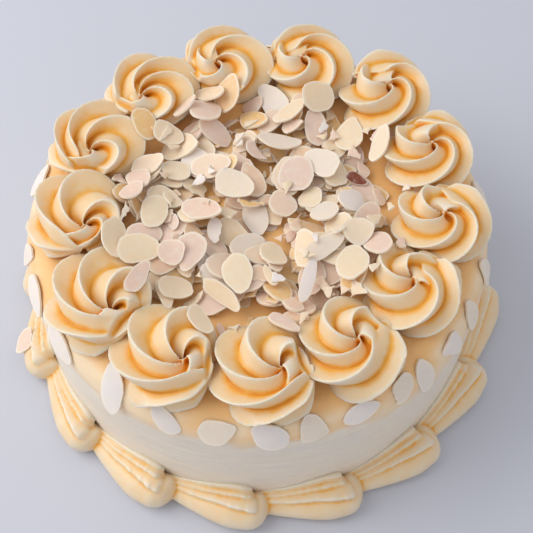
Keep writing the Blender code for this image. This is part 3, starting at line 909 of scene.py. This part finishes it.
def makeTopAlmonds(settings, pattern, ground, material):
    rng = random.Random(2024)
    base, faces = pattern
    whole, broken = SliceHeap("topAlmonds"), SliceHeap("brokenAlmonds")
    laid = tries = 0
    while laid < settings["count"] and tries < settings["tries"]:
        tries += 1
        distance = settings["spread"] * math.sqrt(rng.random())
        angle = rng.uniform(0, 2 * math.pi)
        x, y = distance * math.cos(angle), distance * math.sin(angle)
        if any(math.hypot(x - bx, y - by) < size for bx, by, size in settings["bare"]):
            continue
        kind = rng.random()
        length, width = rng.uniform(15.5, 20.0), rng.uniform(10.5, 13.5)
        if kind > 0.30:
            length, width = rng.uniform(9, 16), rng.uniform(6.5, 11.5)
        if kind > 0.74:
            length, width = rng.uniform(8, 14), rng.uniform(2.6, 5.0)
        if kind > 0.86:
            length, width = rng.uniform(3.5, 7.0), rng.uniform(2.5, 4.5)
        yaw = rng.uniform(0, 2 * math.pi)
        gx, gy, heights = ground
        near = (gx - x) ** 2 + (gy - y) ** 2 < 16
        if heights[near].mean() > cakeShape["top"] + settings["highest"]:
            continue
        matrix = layFlat(ground, x, y, yaw, length, width, sliceShape["thick"], settings["steepest"])
        if matrix is None:
            continue
        laid += 1
        # the flakes laid first lie deep under the rest and get the painted warm shade tones
        tones = settings["shadedTonesBelow" if laid < settings["deep"] * settings["count"] else "tonesAbove"]
        tone = rng.choice(tones) + rng.uniform(-0.06, 0.06)
        first = rng.uniform(0, 6.28)
        cuts = []
        if kind > 0.30:
            breaks = rng.choice((1, 1, 2, 3))
            cuts = [(first + n * rng.uniform(1.6, 2.6), rng.uniform(0.0, 0.65)) for n in range(breaks)]
        point, bend = rng.uniform(0.0, 0.34), rng.uniform(-1.0, 1.6)
        points, rim = shapeSlice(base, length, width, point, bend, rng, cuts)
        (broken if cuts else whole).add(points, faces, rim, matrix, tone)
    for x, y, heading, length, width, tone in settings["large"]:
        matrix = layFlat(ground, x, y, math.radians(heading), length, width, sliceShape["thick"], 1.2)
        if matrix is not None:
            points, rim = shapeSlice(base, length, width, rng.uniform(0.05, 0.2), rng.uniform(-0.5, 1.8), rng)
            whole.add(points, faces, rim, matrix, tone)
    # small broken bits that fell on top
    for n in range(settings["bits"]):
        distance = settings["spread"] * 0.95 * math.sqrt(rng.random())
        angle, yaw = rng.uniform(0, 2 * math.pi), rng.uniform(0, 2 * math.pi)
        x, y = distance * math.cos(angle), distance * math.sin(angle)
        length, width = rng.uniform(6.0, 12.0), rng.uniform(3.5, 7.5)
        matrix = layFlat(ground, x, y, yaw, length, width, sliceShape["thick"], 1.0)
        if matrix is not None:
            first = rng.uniform(0, 6.28)
            cuts = [(first + n * rng.uniform(1.7, 2.4), rng.uniform(0.15, 0.55)) for n in range(3)]
            points, rim = shapeSlice(base, length, width, 0.0, rng.uniform(-0.3, 0.3), rng, cuts)
            broken.add(points, faces, rim, matrix, rng.uniform(0.3, 1.0))
    print("top almonds", laid, "of", tries, "tries")
    return [whole.finish(["almond_flakes"], material), broken.finish([], material)]


# floor, light and camera

def makeStage():
    deselectAll()
    bpy.ops.mesh.primitive_plane_add(size=4.0, location=(0, 0, -0.0002))
    floor = bpy.context.object
    floor.name = "floor"
    material, nodes, links, shader = newMaterial("paleFloor")
    shader.inputs["Base Color"].default_value = (0.575, 0.595, 0.67, 1.0)
    shader.inputs["Roughness"].default_value = 0.9
    floor.data.materials.append(material)


lightLook = {
    "window": {"place": (-0.95, 0.08, 0.92), "size": 1.1, "power": 11.5, "colour": (1.0, 0.98, 0.95)},
    "sky": {"colour": (0.97, 0.97, 1.0), "strength": 0.66},
}


def makeLights(look):
    deselectAll()
    window = look["window"]
    bpy.ops.object.light_add(type="AREA", location=window["place"])
    lamp = bpy.context.object
    lamp.name = "windowLight"
    lamp.data.size = window["size"]
    lamp.data.energy = window["power"]
    lamp.data.color = window["colour"]
    lamp.rotation_euler = (Vector((0, 0, 0.05)) - lamp.location).to_track_quat("-Z", "Y").to_euler()
    world = bpy.data.worlds.new("studio")
    world.use_nodes = True
    world.node_tree.nodes["Background"].inputs[0].default_value = (*look["sky"]["colour"], 1.0)
    world.node_tree.nodes["Background"].inputs[1].default_value = look["sky"]["strength"]
    bpy.context.scene.world = world
    bpy.context.scene.view_settings.view_transform = "Standard"


cameraLook = {
    "elevation": 60.18,
    "roll": 1.21,
    "distance": 469.0,
    "target": (4.3, -15.6, 60.0),
    "pixels": 1000.0,      # focal length in pixels of a 533 pixel picture
}


def makeCamera(look):
    bpy.ops.object.camera_add()
    camera = bpy.context.object
    camera.data.sensor_width = 36.0
    camera.data.lens = look["pixels"] / 533 * 36.0
    e, r = math.radians(look["elevation"]), math.radians(look["roll"])
    back = Vector((0, -math.cos(e), math.sin(e)))
    right = Vector((1, 0, 0))
    up = back.cross(right)
    turnedRight = math.cos(r) * right + math.sin(r) * up
    turnedUp = -math.sin(r) * right + math.cos(r) * up
    place = (Vector(look["target"]) + back * look["distance"]) * mm
    turn = Matrix((turnedRight, turnedUp, back)).transposed().to_4x4()
    camera.matrix_world = Matrix.Translation(place) @ turn
    bpy.context.scene.camera = camera


# put together

makeCamera(cameraLook)
makeLights(lightLook)
makeStage()
print("stage ready")

icing = makeIcing("icing", icingLook)
buttercream = makeButtercream("buttercream", creamLook)
almond = makeAlmond("almond", almondLook)

cake = makeCake(cakeShape, icing)
roses = [makeRosette(k, buttercream) for k in range(roseRing["count"])]
print("rosettes piped")
border = makeBorder(shellShape, buttercream)

slicePattern = makeSlice(sliceShape)
makeRimAlmonds(rimAlmonds, slicePattern, almond)
graph = bpy.context.evaluated_depsgraph_get()
trees = [BVHTree.FromObject(rose, graph) for rose in roses]
ground = heightMap(trees, topAlmonds["cell"], topAlmonds["mapHalf"])
makeTopAlmonds(topAlmonds, slicePattern, ground, almond)
print("almonds laid")
